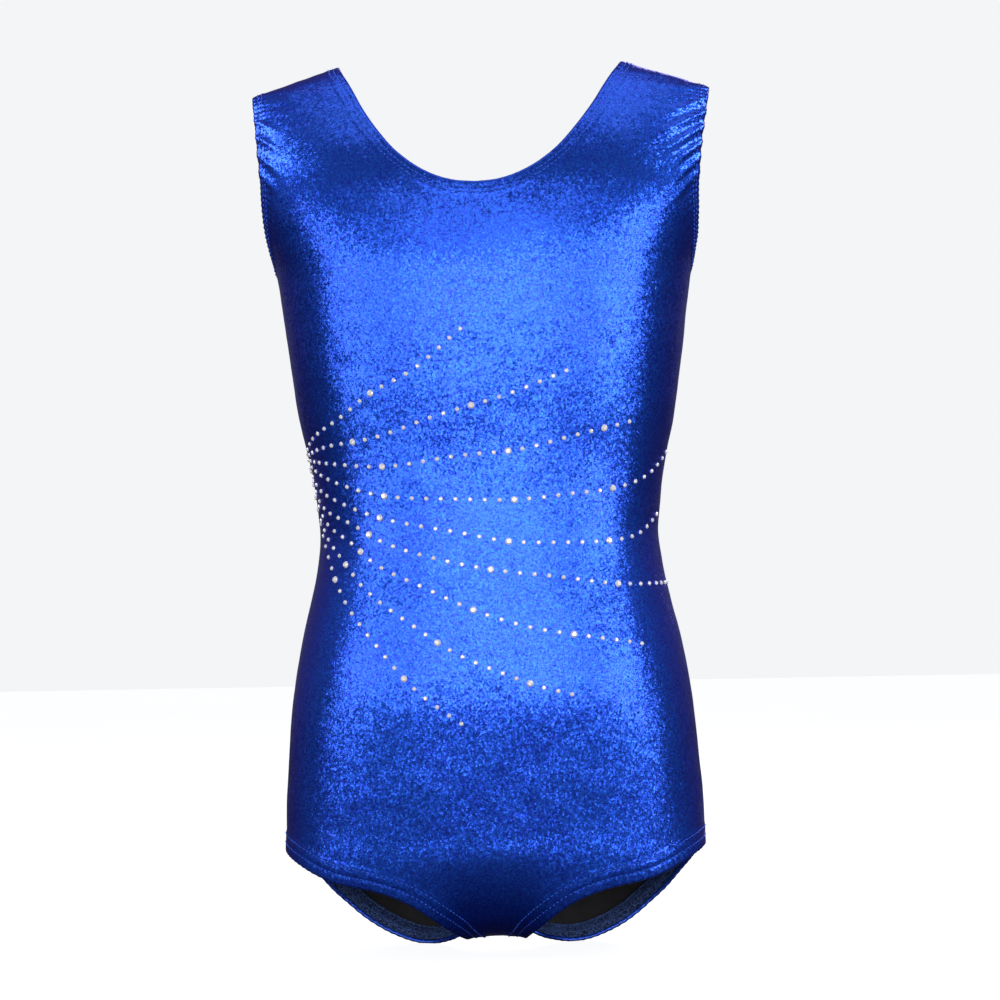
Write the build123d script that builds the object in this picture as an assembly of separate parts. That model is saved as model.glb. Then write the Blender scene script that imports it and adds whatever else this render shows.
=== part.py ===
from build123d import *
import math
import os

# A child's sleeveless gymnastics leotard, standing as it is worn, in millimetres.
# +X is to the viewer's right when facing the front, +Y is the back, +Z is up.
# Shapes are drawn with the crotch seam at height 0, then lifted so that the lowest hem is at 0.

# ---- driving dimensions -------------------------------------------------------------------
LIFT = 7.8                # crotch seam above the lowest point of the leg hems
CLOTH = 0.5               # foil knit, one ply
SEAM_GAP = 0.3            # gap across a seam line, where two panels or two ends meet

# turned hems: widths are measured along the cloth from the cut edge, depths from its outside
HEM_WIDTH = {"neck": 8.4, "arm": 8.4, "leg": 12.6}
HEM_PLY_TOP = 1.9         # the turned-in ply lies under the elastic
HEM_PLY_BOTTOM = 2.4
ELASTIC_START = 0.9
ELASTIC_WIDTH = {"neck": 6.8, "arm": 6.8, "leg": 11.0}
ELASTIC_TOP = 1.0
ELASTIC_BOTTOM = 1.5

STITCH_ROWS = {"neck": (3.6, 6.5), "arm": (3.6, 6.5), "leg": (5.8, 11.4)}
STITCH_WIDTH = 0.45
STITCH_LOW = -0.25        # thread lies just above the cloth, so its depths are negative
STITCH_HIGH = -0.55

SEAM_WIDTH = 5.0          # overlocked seam ridges inside the garment
SEAM_TOP = 1.0
SEAM_BOTTOM = 1.9

LINING_INSET = 9.0        # crotch lining: its edge lies over the leg hem
LINING_FRONT = 52.0       # length along the leg edge, in front of and behind the crotch seam
LINING_BACK = 46.0
LINING_TOP = 2.7
LINING_BOTTOM = 3.1

LABEL_WIDTH = 24.0        # blank care label, hanging inside the back of the neck
LABEL_DROP = 30.0
LABEL_THICK = 0.5
LABEL_TOP = 384.0
LABEL_DEPTH = 4.2
TACK_WIDTH = 18.0
TACK_TOP = 2.6
TACK_BOTTOM = 3.6

SMALL_STONE = 2.8         # flat-backed rhinestones: diameters
LARGE_STONE = 4.4
STONE_HEIGHT = 0.42       # height and table width as shares of the diameter
STONE_TABLE = 0.5
STONE_SEAT = 0.2
STONE_PITCH = 9.4
STONE_CLEAR = 0.4
FAN_START = 9.0

# ---- shape of the torso -------------------------------------------------------------------
SIDE_JOIN = 60.0          # height where the rounded underside meets the hips
TOP_JOIN = 470.0          # height where the chest turns in to the shoulder line
ROUNDNESS = 0.25          # fills out the section beyond an ellipse
# (height, size)
HALF_WIDTH = [(60, 132.9), (85, 132.3), (112, 130.3), (150, 126.8), (188, 120.2),
              (214, 113.8), (239, 108.8), (256, 107.2), (272, 108.6), (302, 112.8), (328, 118.4),
              (366, 124.2), (404, 129.2), (428, 133.0), (440, 137.0), (458, 143.5), (480, 149.0),
              (505, 152.0), (560, 152.0)]
FRONT_DEPTH = [(-60, 66), (0, 66), (60, 70), (110, 76), (150, 80), (200, 79), (250, 76),
               (300, 77), (350, 82), (400, 86), (430, 87), (470, 81), (500, 71), (530, 57), (560, 46)]
BACK_DEPTH = [(-60, 78), (0, 81), (60, 86), (105, 87.1), (165, 80), (215, 67), (250, 61), (300, 67),
              (350, 77), (400, 84), (430, 86), (470, 80), (500, 72), (530, 61), (560, 50)]
# (distance from the middle, height)
UNDERSIDE = [(0, 1), (10, 0.7), (18, -0.5), (26, -6), (36, -17), (48, -26), (62, -29),
             (82, -26), (102, -18), (120, -6), (134, 8)]
SHOULDER_LINE = [(0, 560), (55, 558), (90, 553), (108, 547.6), (126, 541.8), (144.6, 535), (154, 530)]

# ---- cut edges: (distance from the middle, height) ----------------------------------------
LEG_FRONT = [(18, -0.5), (20, 1.8), (23, 4.6), (27, 8.2), (32, 12.4), (40, 18.8), (48, 24.4),
             (56, 28.6), (66, 32.6), (78, 35.8), (90, 38.2), (101, 41.0), (111, 45.0), (119, 49.2),
             (126, 53.0), (130.5, 55.6), (132.9, 57.5)]
LEG_BACK = [(18, -0.5), (20, 0.6), (24, -1.2), (30, -4.2), (38, -6.8), (48, -7.8), (58, -6.2),
            (68, -2.6), (78, 2.4), (88, 9.0), (98, 17.6), (108, 27.2), (117, 38.0), (124, 46.6),
            (130, 54.6), (132.9, 57.5)]
NECK_FRONT = [(0, 473.6), (14, 475.0), (30, 480.6), (42, 488.0), (52, 496.6), (60, 506.0),
              (67, 515.4), (73, 524.6), (79, 535.4), (84, 543.6), (88, 549.6), (90, 553.0)]
NECK_BACK = [(0, 398), (18, 400), (36, 409), (50, 424), (61, 446), (69, 474), (76, 503),
             (82, 528), (87, 545), (90, 553)]
# armholes: (height, distance from the middle)
ARM_FRONT = [(428, 133.0), (434, 134.2), (442, 135.6), (455, 136.8), (468, 137.2), (482, 137.6),
             (495, 138.8), (508, 140.4), (520, 142.3), (530, 143.9), (535, 144.6)]
ARM_BACK = [(428, 133.0), (434, 133.9), (442, 134.6), (455, 134.9), (468, 134.8), (482, 135.2),
            (495, 136.8), (508, 138.9), (520, 141.4), (530, 143.6), (535, 144.6)]
ARM_LOW = 428.0
ARM_HIGH = 535.0

# ---- rhinestone rays: angle round the torso (0 is the middle of the front) and height -----
FAN_POINT = (-88, 305)
# each ray: the points after the fan point, then the numbers of its large stones
RAYS = [
    ([(-69, 317), (-47, 331), (-34, 345), (-20, 358), (-5, 383)], (11,)),
    ([(-60, 312), (-33, 318), (-13, 330), (8, 342), (26, 356)], (8, 17)),
    ([(-53, 301), (-33, 299), (-6, 305), (12, 308), (30, 316), (43, 321), (51, 324)], (10, 19, 26)),
    ([(-55, 289), (-35, 281), (-8, 278), (12, 277), (30, 280), (44, 282), (63, 289), (84, 305)],
     (10, 19, 26)),
    ([(-74, 288), (-57, 278), (-36, 267), (-10, 258), (10, 251), (27, 250), (41, 250), (62, 254),
      (80, 266)], (10, 19, 26)),
    ([(-74, 279), (-48, 262), (-37, 253), (-17, 242), (6, 233), (24, 229), (45, 224), (72, 223),
      (87, 223)], (10, 19, 28)),
    ([(-80, 283), (-70, 267), (-49, 250), (-40, 240), (-20, 224), (1, 206), (16, 197), (28, 193),
      (53, 186)], (10, 19, 26)),
    ([(-80, 275), (-68, 255), (-54, 240), (-45, 227), (-23, 201), (-8, 182), (6, 169), (16, 161),
      (25, 156)], (10, 19, 26)),
    ([(-82, 282), (-77, 263), (-66, 243), (-51, 216), (-36, 191), (-19, 158), (-7, 139)], (10, 19)),
]

# ---- fineness of the fitted surfaces ------------------------------------------------------
EDGE_STEPS = 48
EDGE_SPACING = 4.0
COLUMNS = 60
LOW_ROWS = 20
BODY_ROWS = 40
TOP_ROWS = 18
# lowest row of each panel's surface before it is cut: (distance from the middle, angle round the
# underside, where 0 is the crotch seam and 90 is the level where the underside meets the hips)
ROW_FRONT = [(0, 0), (21, 0), (33, 20), (46, 42), (60, 54), (90, 66), (134, 76)]
ROW_BACK = [(0, 0), (23, 0), (34, 6), (46, 18), (62, 30), (82, 38), (100, 47), (118, 58),
            (134, 70)]
LOWEST_ROW = 0.6          # the surface stops just short of the crotch seam
SIDE_REACH = 89.6         # the surface stops just short of the side seam
CHEST_REACH = 75.0        # and beyond the armhole it reaches this far round
REACH_START = 427.0
REACH_END = 490.0


def curve(points):
    """Smooth curve through (position, value) pairs, with tangents from the neighbours."""
    xs = [p[0] for p in points]
    ys = [p[1] for p in points]
    last = len(points) - 1
    chord = [(ys[i + 1] - ys[i]) / (xs[i + 1] - xs[i]) for i in range(last)]
    slope = [chord[0]]
    for i in range(1, last):
        before = xs[i] - xs[i - 1]
        after = xs[i + 1] - xs[i]
        slope.append((chord[i - 1] * after + chord[i] * before) / (before + after))
    slope.append(chord[-1])

    def value(x):
        if x <= xs[0]:
            return ys[0] + slope[0] * (x - xs[0])
        if x >= xs[-1]:
            return ys[-1] + slope[-1] * (x - xs[-1])
        i = 0
        while xs[i + 1] < x:
            i += 1
        step = xs[i + 1] - xs[i]
        t = (x - xs[i]) / step
        return (ys[i] * (2 * t ** 3 - 3 * t ** 2 + 1)
                + slope[i] * step * (t ** 3 - 2 * t ** 2 + t)
                + ys[i + 1] * (3 * t ** 2 - 2 * t ** 3)
                + slope[i + 1] * step * (t ** 3 - t ** 2))

    return value


half_width = curve(HALF_WIDTH)
front_depth = curve(FRONT_DEPTH)
back_depth = curve(BACK_DEPTH)
underside = curve(UNDERSIDE)
shoulder_line = curve(SHOULDER_LINE)
leg_front = curve(LEG_FRONT)
leg_back = curve(LEG_BACK)
neck_front = curve(NECK_FRONT)
neck_back = curve(NECK_BACK)
arm_front = curve(ARM_FRONT)
arm_back = curve(ARM_BACK)
row_front = curve(ROW_FRONT)
row_back = curve(ROW_BACK)


# ---- the torso as an implicit surface -----------------------------------------------------
def fullness(x, z):
    """Square of the share of the depth that the torso has at this place; 0 on the outline."""
    q = (x / half_width(max(z, SIDE_JOIN))) ** 2
    across = (1 - q) * (1 + ROUNDNESS * q) ** 2
    x = abs(x)
    if z < SIDE_JOIN:
        t = (z - underside(x)) / (SIDE_JOIN - underside(x))
        return across * (1 - (1 - t) ** 2)
    if z > TOP_JOIN:
        t = (shoulder_line(x) - z) / (shoulder_line(x) - TOP_JOIN)
        return across * (1 - (1 - t) ** 2)
    return across


def inside_out(x, y, z):
    """Negative inside the torso, zero on it and positive outside."""
    depth = front_depth(z) if y < 0 else back_depth(z)
    return (y / depth) ** 2 - fullness(x, z)


def slope_at(p):
    """Gradient of inside_out, which points outward."""
    d = 0.05
    gx = inside_out(p.X + d, p.Y, p.Z) - inside_out(p.X - d, p.Y, p.Z)
    gy = inside_out(p.X, p.Y + d, p.Z) - inside_out(p.X, p.Y - d, p.Z)
    gz = inside_out(p.X, p.Y, p.Z + d) - inside_out(p.X, p.Y, p.Z - d)
    return Vector(gx, gy, gz) / (2 * d)


def normal(p):
    """Outward unit normal of the torso near a point."""
    return slope_at(p).normalized()


def settle(p):
    """Moves a nearby point onto the torso."""
    for _ in range(6):
        slope = slope_at(p)
        p = p - slope * (inside_out(p.X, p.Y, p.Z) / slope.dot(slope))
    return p


def at(x, z, side):
    """Point of the torso seen at (x, z) from the front (side -1) or the back (side +1)."""
    depth = front_depth(z) if side < 0 else back_depth(z)
    return Vector(x, side * depth * math.sqrt(max(0.0, fullness(x, z))), z)


def below(p, depth):
    """Point at a depth under the outside of the cloth; negative depths lie outside it."""
    return p - normal(p) * depth


# ---- cut edges and seam lines as lines of points ------------------------------------------
def ease(i, count):
    """Steps from 0 to 1 that are finer at both ends."""
    return (1 - math.cos(math.pi * i / count)) / 2


def leg_half(side, hand):
    """Cut edge of a leg opening from the crotch to the side seam."""
    edge = leg_front if side < 0 else leg_back
    inner = LEG_FRONT[0][0]
    outer = LEG_FRONT[-1][0]
    xs = [inner + (outer - inner) * ease(i, EDGE_STEPS) for i in range(EDGE_STEPS + 1)]
    return [at(hand * x, edge(x), side) for x in xs]


def arm_half(side, hand):
    """Cut edge of an armhole from the armpit to the shoulder tip."""
    edge = arm_front if side < 0 else arm_back
    zs = [ARM_LOW + (ARM_HIGH - ARM_LOW) * ease(i, EDGE_STEPS) for i in range(EDGE_STEPS + 1)]
    return [at(hand * edge(z), z, side) for z in zs]


def neck_half(side, hand):
    """Cut edge of the neckline from the middle to the shoulder."""
    edge = neck_front if side < 0 else neck_back
    outer = NECK_FRONT[-1][0]
    xs = [outer * math.sin(math.pi / 2 * i / EDGE_STEPS) for i in range(EDGE_STEPS + 1)]
    return [at(hand * x, edge(x), side) for x in xs]


def neck_line(side):
    """Neckline of one panel from the left shoulder to the right."""
    return neck_half(side, -1)[::-1] + neck_half(side, 1)[1:]


# each opening: its kind, the edge of one panel and a point in the opening
OPENINGS = {
    "left_leg": ("leg", lambda side: leg_half(side, -1), Vector(-70, 0, -20)),
    "right_leg": ("leg", lambda side: leg_half(side, 1), Vector(70, 0, -20)),
    "left_arm": ("arm", lambda side: arm_half(side, -1), Vector(-150, 0, 482)),
    "right_arm": ("arm", lambda side: arm_half(side, 1), Vector(150, 0, 482)),
    "neck": ("neck", neck_line, Vector(0, 0, 560)),
}


def resampled(line, spacing, margin=0.0):
    """Evenly spaced points along a line, leaving a margin at both ends."""
    lengths = [0.0]
    for a, b in zip(line, line[1:]):
        lengths.append(lengths[-1] + (b - a).length)
    total = lengths[-1] - 2 * margin
    count = max(3, round(total / spacing))
    result = []
    i = 0
    for k in range(count + 1):
        target = margin + total * k / count
        while i < len(line) - 2 and lengths[i + 1] < target:
            i += 1
        t = (target - lengths[i]) / (lengths[i + 1] - lengths[i])
        result.append(settle(line[i] + (line[i + 1] - line[i]) * t))
    return result


def whole_edge(opening):
    """An opening's whole edge, from a small gap round to the same gap."""
    line = OPENINGS[opening][1]
    return resampled(line(-1) + line(1)[::-1][1:], EDGE_SPACING, SEAM_GAP / 2)


def inward(line, i, opening_point):
    """Direction along the cloth, square to the line, pointing away from the opening."""
    before = line[max(0, i - 1)]
    after = line[min(len(line) - 1, i + 1)]
    direction = normal(line[i]).cross((after - before).normalized()).normalized()
    return direction if direction.dot(line[i] - opening_point) > 0 else direction * -1


def inset(line, opening_point, width):
    """The same line moved along the cloth, away from the opening."""
    return [settle(p + inward(line, i, opening_point) * width) for i, p in enumerate(line)]


# ---- thin solids between two fitted surfaces ----------------------------------------------
def fitted(rows):
    """Smooth surface through rows of points."""
    last = len(rows[0]) - 1
    shares = [j / last for j in range(last + 1)]
    wires = [Wire([Edge.make_spline(row, parameters=shares)]) for row in rows]
    return Shell.make_loft(wires).faces()[0]


def sheet(rows, high, low):
    """Thin solid between two depths below a grid of points on the torso."""
    top = fitted([[below(p, high) for p in row] for row in rows])
    bottom = fitted([[below(p, low) for p in row] for row in rows])
    pairs = zip(top.edges(), bottom.edges())
    walls = [Face.make_surface_from_curves(above, under) for above, under in pairs]
    solid = Solid(Shell([top, bottom] + walls))
    return solid if solid.volume > 0 else sheet([row[::-1] for row in rows], high, low)


def band(line, opening_point, near, far, high, low):
    """Thin solid that follows a line, between two widths and two depths."""
    steps = 3
    widths = [near + (far - near) * k / steps for k in range(steps + 1)]
    return sheet([inset(line, opening_point, width) for width in widths], high, low)


# ---- panels -------------------------------------------------------------------------------
def side_reach(z):
    """How far round towards the side seam a panel's surface reaches, in radians."""
    t = min(1.0, max(0.0, (z - REACH_START) / (REACH_END - REACH_START)))
    share = t * t * t * (10 - 15 * t + 6 * t * t)
    return math.radians(SIDE_REACH + (CHEST_REACH - SIDE_REACH) * share)


def panel_rows(side):
    """Grid of points over one side of the torso, a little larger than the panel."""
    low_edge = row_front if side < 0 else row_back
    across = [2 * j / COLUMNS - 1 for j in range(COLUMNS + 1)]
    rows = []
    for i in range(LOW_ROWS):
        row = []
        for share in across:
            x = half_width(SIDE_JOIN) * math.sin(side_reach(SIDE_JOIN) * share)
            start = max(LOWEST_ROW, low_edge(abs(x)))
            angle = math.radians(start + (90 - start) * i / LOW_ROWS)
            bottom = underside(abs(x))
            row.append(at(x, bottom + (SIDE_JOIN - bottom) * (1 - math.cos(angle)), side))
        rows.append(row)
    for i in range(BODY_ROWS):
        z = SIDE_JOIN + (TOP_JOIN - SIDE_JOIN) * i / BODY_ROWS
        xs = [half_width(z) * math.sin(side_reach(z) * share) for share in across]
        rows.append([at(x, z, side) for x in xs])
    for i in range(TOP_ROWS + 1):
        rise = math.sin(math.radians(89.3) * i / TOP_ROWS)
        level = TOP_JOIN + (ARM_HIGH - TOP_JOIN) * rise
        xs = [half_width(level) * math.sin(side_reach(level) * share) for share in across]
        rows.append([at(x, TOP_JOIN + (shoulder_line(abs(x)) - TOP_JOIN) * rise, side) for x in xs])
    return rows


def cutter(opening, side):
    """Surface standing square to the cloth along a panel's cut edge, running past both ends."""
    line = OPENINGS[opening][1]
    near = line(side)
    far = line(-side)
    whole = resampled(far[1:4][::-1] + near + far[-4:-1][::-1], EDGE_SPACING - 1)
    return fitted([[below(p, depth) for p in whole] for depth in (-5, 0, 5)])


def panel(side):
    """One panel of the body, cut to its edges."""
    cloth = sheet(panel_rows(side), 0, CLOTH)
    for opening in OPENINGS:
        pieces = cloth.split(cutter(opening, side), keep=Keep.ALL)
        cloth = max(pieces, key=lambda piece: piece.volume)
    return cloth


# ---- elastics, threads and seams ----------------------------------------------------------
def elastic(opening):
    kind, _, middle = OPENINGS[opening]
    far = ELASTIC_START + ELASTIC_WIDTH[kind]
    return band(whole_edge(opening), middle, ELASTIC_START, far, ELASTIC_TOP, ELASTIC_BOTTOM)


def hem(opening):
    """Cloth turned in under the elastic round an opening."""
    kind, _, middle = OPENINGS[opening]
    return band(whole_edge(opening), middle, 0, HEM_WIDTH[kind], HEM_PLY_TOP, HEM_PLY_BOTTOM)


def stitching(opening):
    """Two rows of cover stitch round an opening."""
    kind, _, middle = OPENINGS[opening]
    line = whole_edge(opening)
    rows = []
    for row in STITCH_ROWS[kind]:
        near = row - STITCH_WIDTH / 2
        rows.append(band(line, middle, near, near + STITCH_WIDTH, STITCH_HIGH, STITCH_LOW))
    return Compound(rows)


def seam(line):
    """Overlocked ridge inside the garment, centred on a seam line."""
    behind = Vector(0, 1000, 250)
    return band(resampled(line, EDGE_SPACING), behind, -SEAM_WIDTH / 2, SEAM_WIDTH / 2,
                SEAM_TOP, SEAM_BOTTOM)


def side_seam(hand):
    low = LEG_FRONT[-1][1] + HEM_WIDTH["leg"] + 1
    high = ARM_LOW - HEM_WIDTH["arm"] - 1
    count = 60
    heights = [low + (high - low) * i / count for i in range(count + 1)]
    return seam([at(hand * half_width(z), z, 1) for z in heights])


def shoulder_seam(hand):
    near = NECK_FRONT[-1][0] + HEM_WIDTH["neck"] + 1
    far = ARM_FRONT[-1][1] - HEM_WIDTH["arm"] - 1
    count = 20
    xs = [near + (far - near) * i / count for i in range(count + 1)]
    return seam([at(hand * x, shoulder_line(x), 1) for x in xs])


def crotch_seam():
    reach = LEG_FRONT[0][0] - HEM_WIDTH["leg"] - 1
    count = 8
    xs = [reach * (2 * i / count - 1) for i in range(count + 1)]
    return seam([at(x, underside(abs(x)), 1) for x in xs])


def crotch_lining():
    """Soft lining over the crotch seam, its sides lying on the leg hems."""
    lines = []
    for opening in ("left_leg", "right_leg"):
        _, half, middle = OPENINGS[opening]
        ends = []
        for side, length in ((-1, LINING_FRONT), (1, LINING_BACK)):
            line = resampled(half(side), 2.0)
            ends.append(line[:round(length / 2.0)])
        line = ends[0][::-1] + ends[1][1:]
        lines.append(inset(line, middle, LINING_INSET))
    rows = []
    count = 12
    for left, right in zip(*lines):
        rows.append([settle(left + (right - left) * (j / count)) for j in range(count + 1)])
    return sheet(rows, LINING_TOP, LINING_BOTTOM)


# ---- care label ---------------------------------------------------------------------------
def label_plane():
    """Plane of the label: origin on its top edge, x along the edge and y down the label."""
    top = below(at(0, LABEL_TOP, 1), LABEL_DEPTH)
    down = at(0, LABEL_TOP - LABEL_DROP, 1) - at(0, LABEL_TOP, 1)
    across = Vector(1, 0, 0)
    return Plane(origin=top, x_dir=across, z_dir=across.cross(down.normalized()))


def care_label():
    body = Box(LABEL_WIDTH, LABEL_DROP, LABEL_THICK, align=(Align.CENTER, Align.MIN, Align.CENTER))
    body = fillet(body.edges().filter_by(Axis.Z).group_by(Axis.Y)[-1], 2)
    return (label_plane() * body).solid()


def label_tack():
    """Bar of thread that holds the label's top edge to the neck hem."""
    xs = [TACK_WIDTH * (j / 8 - 0.5) for j in range(9)]
    heights = [LABEL_TOP + 3 + 1.5 * i / 3 for i in range(4)]
    return sheet([[at(x, z, 1) for x in xs] for z in heights], TACK_TOP, TACK_BOTTOM)


# ---- rhinestones --------------------------------------------------------------------------
def ray_line(points):
    """Line over the cloth from the fan point through a ray's points."""
    points = [FAN_POINT] + points
    along = [0.0]
    for (turn_a, z_a), (turn_b, z_b) in zip(points, points[1:]):
        width = half_width((z_a + z_b) / 2)
        along.append(along[-1] + math.hypot(math.radians(turn_b - turn_a) * width, z_b - z_a))
    turn = curve([(s, p[0]) for s, p in zip(along, points)])
    height = curve([(s, p[1]) for s, p in zip(along, points)])
    line = []
    count = 120
    for i in range(count + 1):
        s = along[-1] * i / count
        z = height(s)
        line.append(at(half_width(z) * math.sin(math.radians(turn(s))), z, -1))
    return line


def stone(p, diameter):
    up = normal(p)
    seat = Plane(origin=p + up * STONE_SEAT, z_dir=up)
    return Solid.make_cone(diameter / 2, diameter / 2 * STONE_TABLE, diameter * STONE_HEIGHT, seat)


def rhinestones():
    """Small and large stones along the rays, each clear of the ones placed before it."""
    sizes = {SMALL_STONE: [], LARGE_STONE: []}
    placed = []
    for points, large_numbers in RAYS:
        line = ray_line(points)
        length = sum((b - a).length for a, b in zip(line, line[1:]))
        spots = resampled(line, STONE_PITCH * (length - FAN_START) / length)
        for number, spot in enumerate(spots):
            diameter = LARGE_STONE if number in large_numbers else SMALL_STONE
            room = [(spot - other).length - (diameter + size) / 2 for other, size in placed]
            if room and min(room) < STONE_CLEAR:
                continue
            placed.append((spot, diameter))
            sizes[diameter].append(stone(spot, diameter))
    return Compound(sizes[SMALL_STONE]), Compound(sizes[LARGE_STONE])


# ---- assembly -----------------------------------------------------------------------------
def build():
    nodes = {"front_panel": panel(-1), "back_panel": panel(1), "crotch_lining": crotch_lining()}
    for opening in OPENINGS:
        nodes[opening + "_hem"] = hem(opening)
        nodes[opening + "_elastic"] = elastic(opening)
        nodes[opening + "_stitching"] = stitching(opening)
    for name, hand in (("left", -1), ("right", 1)):
        nodes[name + "_side_seam"] = side_seam(hand)
        nodes[name + "_shoulder_seam"] = shoulder_seam(hand)
    nodes["crotch_seam"] = crotch_seam()
    nodes["small_rhinestones"], nodes["large_rhinestones"] = rhinestones()
    nodes["care_label"] = care_label()
    nodes["label_tack"] = label_tack()
    return {name: shape.moved(Location((0, 0, LIFT))) for name, shape in nodes.items()}


os.makedirs("parts", exist_ok=True)
for name, shape in build().items():
    export_step(shape, "parts/" + name + ".step")
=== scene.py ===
"""A child's gymnastics leotard in blue foil knit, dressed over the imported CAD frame."""
import math
import random

import bpy
import numpy as np
from mathutils import Matrix, Vector, noise
from mathutils.geometry import delaunay_2d_cdt
from mathutils.kdtree import KDTree


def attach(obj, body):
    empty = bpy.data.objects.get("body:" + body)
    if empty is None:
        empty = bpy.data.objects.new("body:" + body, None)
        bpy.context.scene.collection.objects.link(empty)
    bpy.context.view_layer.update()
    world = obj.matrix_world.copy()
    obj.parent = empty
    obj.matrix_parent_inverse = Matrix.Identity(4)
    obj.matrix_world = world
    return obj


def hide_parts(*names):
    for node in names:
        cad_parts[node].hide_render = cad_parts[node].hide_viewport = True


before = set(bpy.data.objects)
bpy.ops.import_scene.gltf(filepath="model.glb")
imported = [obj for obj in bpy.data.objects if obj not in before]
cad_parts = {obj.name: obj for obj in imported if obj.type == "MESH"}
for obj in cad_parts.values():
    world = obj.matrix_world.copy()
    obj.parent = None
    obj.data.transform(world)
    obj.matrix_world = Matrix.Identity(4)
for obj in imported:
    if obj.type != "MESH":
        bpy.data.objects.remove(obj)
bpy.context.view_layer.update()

# ---- shape of the torso, in millimetres, with the crotch seam at height 0 ------------------
MM = 0.001
LIFT = 7.8                # crotch seam above the lowest hem
CLOTH = 0.5
SIDE_JOIN = 60.0
TOP_JOIN = 470.0
ROUNDNESS = 0.25
HALF_WIDTH = [(60, 132.9), (85, 132.3), (112, 130.3), (150, 126.8), (188, 120.2),
              (214, 113.8), (239, 108.8), (256, 107.2), (272, 108.6), (302, 112.8), (328, 118.4),
              (366, 124.2), (404, 129.2), (428, 133.0), (440, 137.0), (458, 143.5), (480, 149.0),
              (505, 152.0), (560, 152.0)]
FRONT_DEPTH = [(-60, 66), (0, 66), (60, 70), (110, 76), (150, 80), (200, 79), (250, 76),
               (300, 77), (350, 82), (400, 86), (430, 87), (470, 81), (500, 71), (530, 57), (560, 46)]
BACK_DEPTH = [(-60, 78), (0, 81), (60, 86), (105, 87.1), (165, 80), (215, 67), (250, 61), (300, 67),
              (350, 77), (400, 84), (430, 86), (470, 80), (500, 72), (530, 61), (560, 50)]
UNDERSIDE = [(0, 1), (10, 0.7), (18, -0.5), (26, -6), (36, -17), (48, -26), (62, -29),
             (82, -26), (102, -18), (120, -6), (134, 8)]
SHOULDER_LINE = [(0, 560), (55, 558), (90, 553), (108, 547.6), (126, 541.8), (144.6, 535), (154, 530)]
LEG_FRONT = [(18, -0.5), (20, 1.8), (23, 4.6), (27, 8.2), (32, 12.4), (40, 18.8), (48, 24.4),
             (56, 28.6), (66, 32.6), (78, 35.8), (90, 38.2), (101, 41.0), (111, 45.0), (119, 49.2),
             (126, 53.0), (130.5, 55.6), (132.9, 57.5)]
LEG_BACK = [(18, -0.5), (20, 0.6), (24, -1.2), (30, -4.2), (38, -6.8), (48, -7.8), (58, -6.2),
            (68, -2.6), (78, 2.4), (88, 9.0), (98, 17.6), (108, 27.2), (117, 38.0), (124, 46.6),
            (130, 54.6), (132.9, 57.5)]
NECK_FRONT = [(0, 473.6), (14, 475.0), (30, 480.6), (42, 488.0), (52, 496.6), (60, 506.0),
              (67, 515.4), (73, 524.6), (79, 535.4), (84, 543.6), (88, 549.6), (90, 553.0)]
NECK_BACK = [(0, 398), (18, 400), (36, 409), (50, 424), (61, 446), (69, 474), (76, 503),
             (82, 528), (87, 545), (90, 553)]
ARM_FRONT = [(428, 133.0), (434, 134.2), (442, 135.6), (455, 136.8), (468, 137.2), (482, 137.6),
             (495, 138.8), (508, 140.4), (520, 142.3), (530, 143.9), (535, 144.6)]
ARM_BACK = [(428, 133.0), (434, 133.9), (442, 134.6), (455, 134.9), (468, 134.8), (482, 135.2),
            (495, 136.8), (508, 138.9), (520, 141.4), (530, 143.6), (535, 144.6)]
ARM_LOW = 428.0
ARM_HIGH = 535.0

# ---- hems and stitches, in millimetres from the cut edge -----------------------------------
HEM_WIDTH = {"neck": 8.4, "arm": 8.4, "leg": 12.6}
STITCH_ROWS = {"neck": (3.6, 6.5), "arm": (3.6, 6.5), "leg": (5.8, 11.4)}
STITCH_PITCH = 2.9
STITCH_LENGTH = 2.2
STITCH_HEIGHTS = (-0.35, 0.14, 0.34, 0.34, 0.14, -0.35)   # along one stitch, above the cloth
STITCH_RADII = (0.14, 0.27, 0.34, 0.34, 0.27, 0.14)
ELASTIC_START = 0.9
ELASTIC_WIDTH = {"neck": 6.8, "arm": 6.8, "leg": 11.0}
ELASTIC_TOP = 1.05
ELASTIC_BOTTOM = 1.55
ELASTIC_RIBS = 14
FINE_STEP = 0.5           # spacing of the edge lines that measure the distance to an opening


def curve(points):
    """Smooth curve through (position, value) pairs that works on whole arrays."""
    xs = np.array([p[0] for p in points], float)
    ys = np.array([p[1] for p in points], float)
    step = np.diff(xs)
    chord = np.diff(ys) / step
    inner = (chord[:-1] * step[1:] + chord[1:] * step[:-1]) / (step[:-1] + step[1:])
    slope = np.concatenate([chord[:1], inner, chord[-1:]])

    def value(x):
        x = np.asarray(x, float)
        held = np.clip(x, xs[0], xs[-1])
        i = np.clip(np.searchsorted(xs, held, side="right") - 1, 0, len(step) - 1)
        t = (held - xs[i]) / step[i]
        result = (ys[i] * (2 * t ** 3 - 3 * t ** 2 + 1) + slope[i] * step[i] * (t ** 3 - 2 * t ** 2 + t)
                  + ys[i + 1] * (3 * t ** 2 - 2 * t ** 3) + slope[i + 1] * step[i] * (t ** 3 - t ** 2))
        end_slope = np.where(x < xs[0], slope[0], slope[-1])
        return result + (x - held) * end_slope

    return value


half_width = curve(HALF_WIDTH)
front_depth = curve(FRONT_DEPTH)
back_depth = curve(BACK_DEPTH)
underside = curve(UNDERSIDE)
shoulder_line = curve(SHOULDER_LINE)
leg_front = curve(LEG_FRONT)
leg_back = curve(LEG_BACK)
neck_front = curve(NECK_FRONT)
neck_back = curve(NECK_BACK)
arm_front = curve(ARM_FRONT)
arm_back = curve(ARM_BACK)


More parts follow.
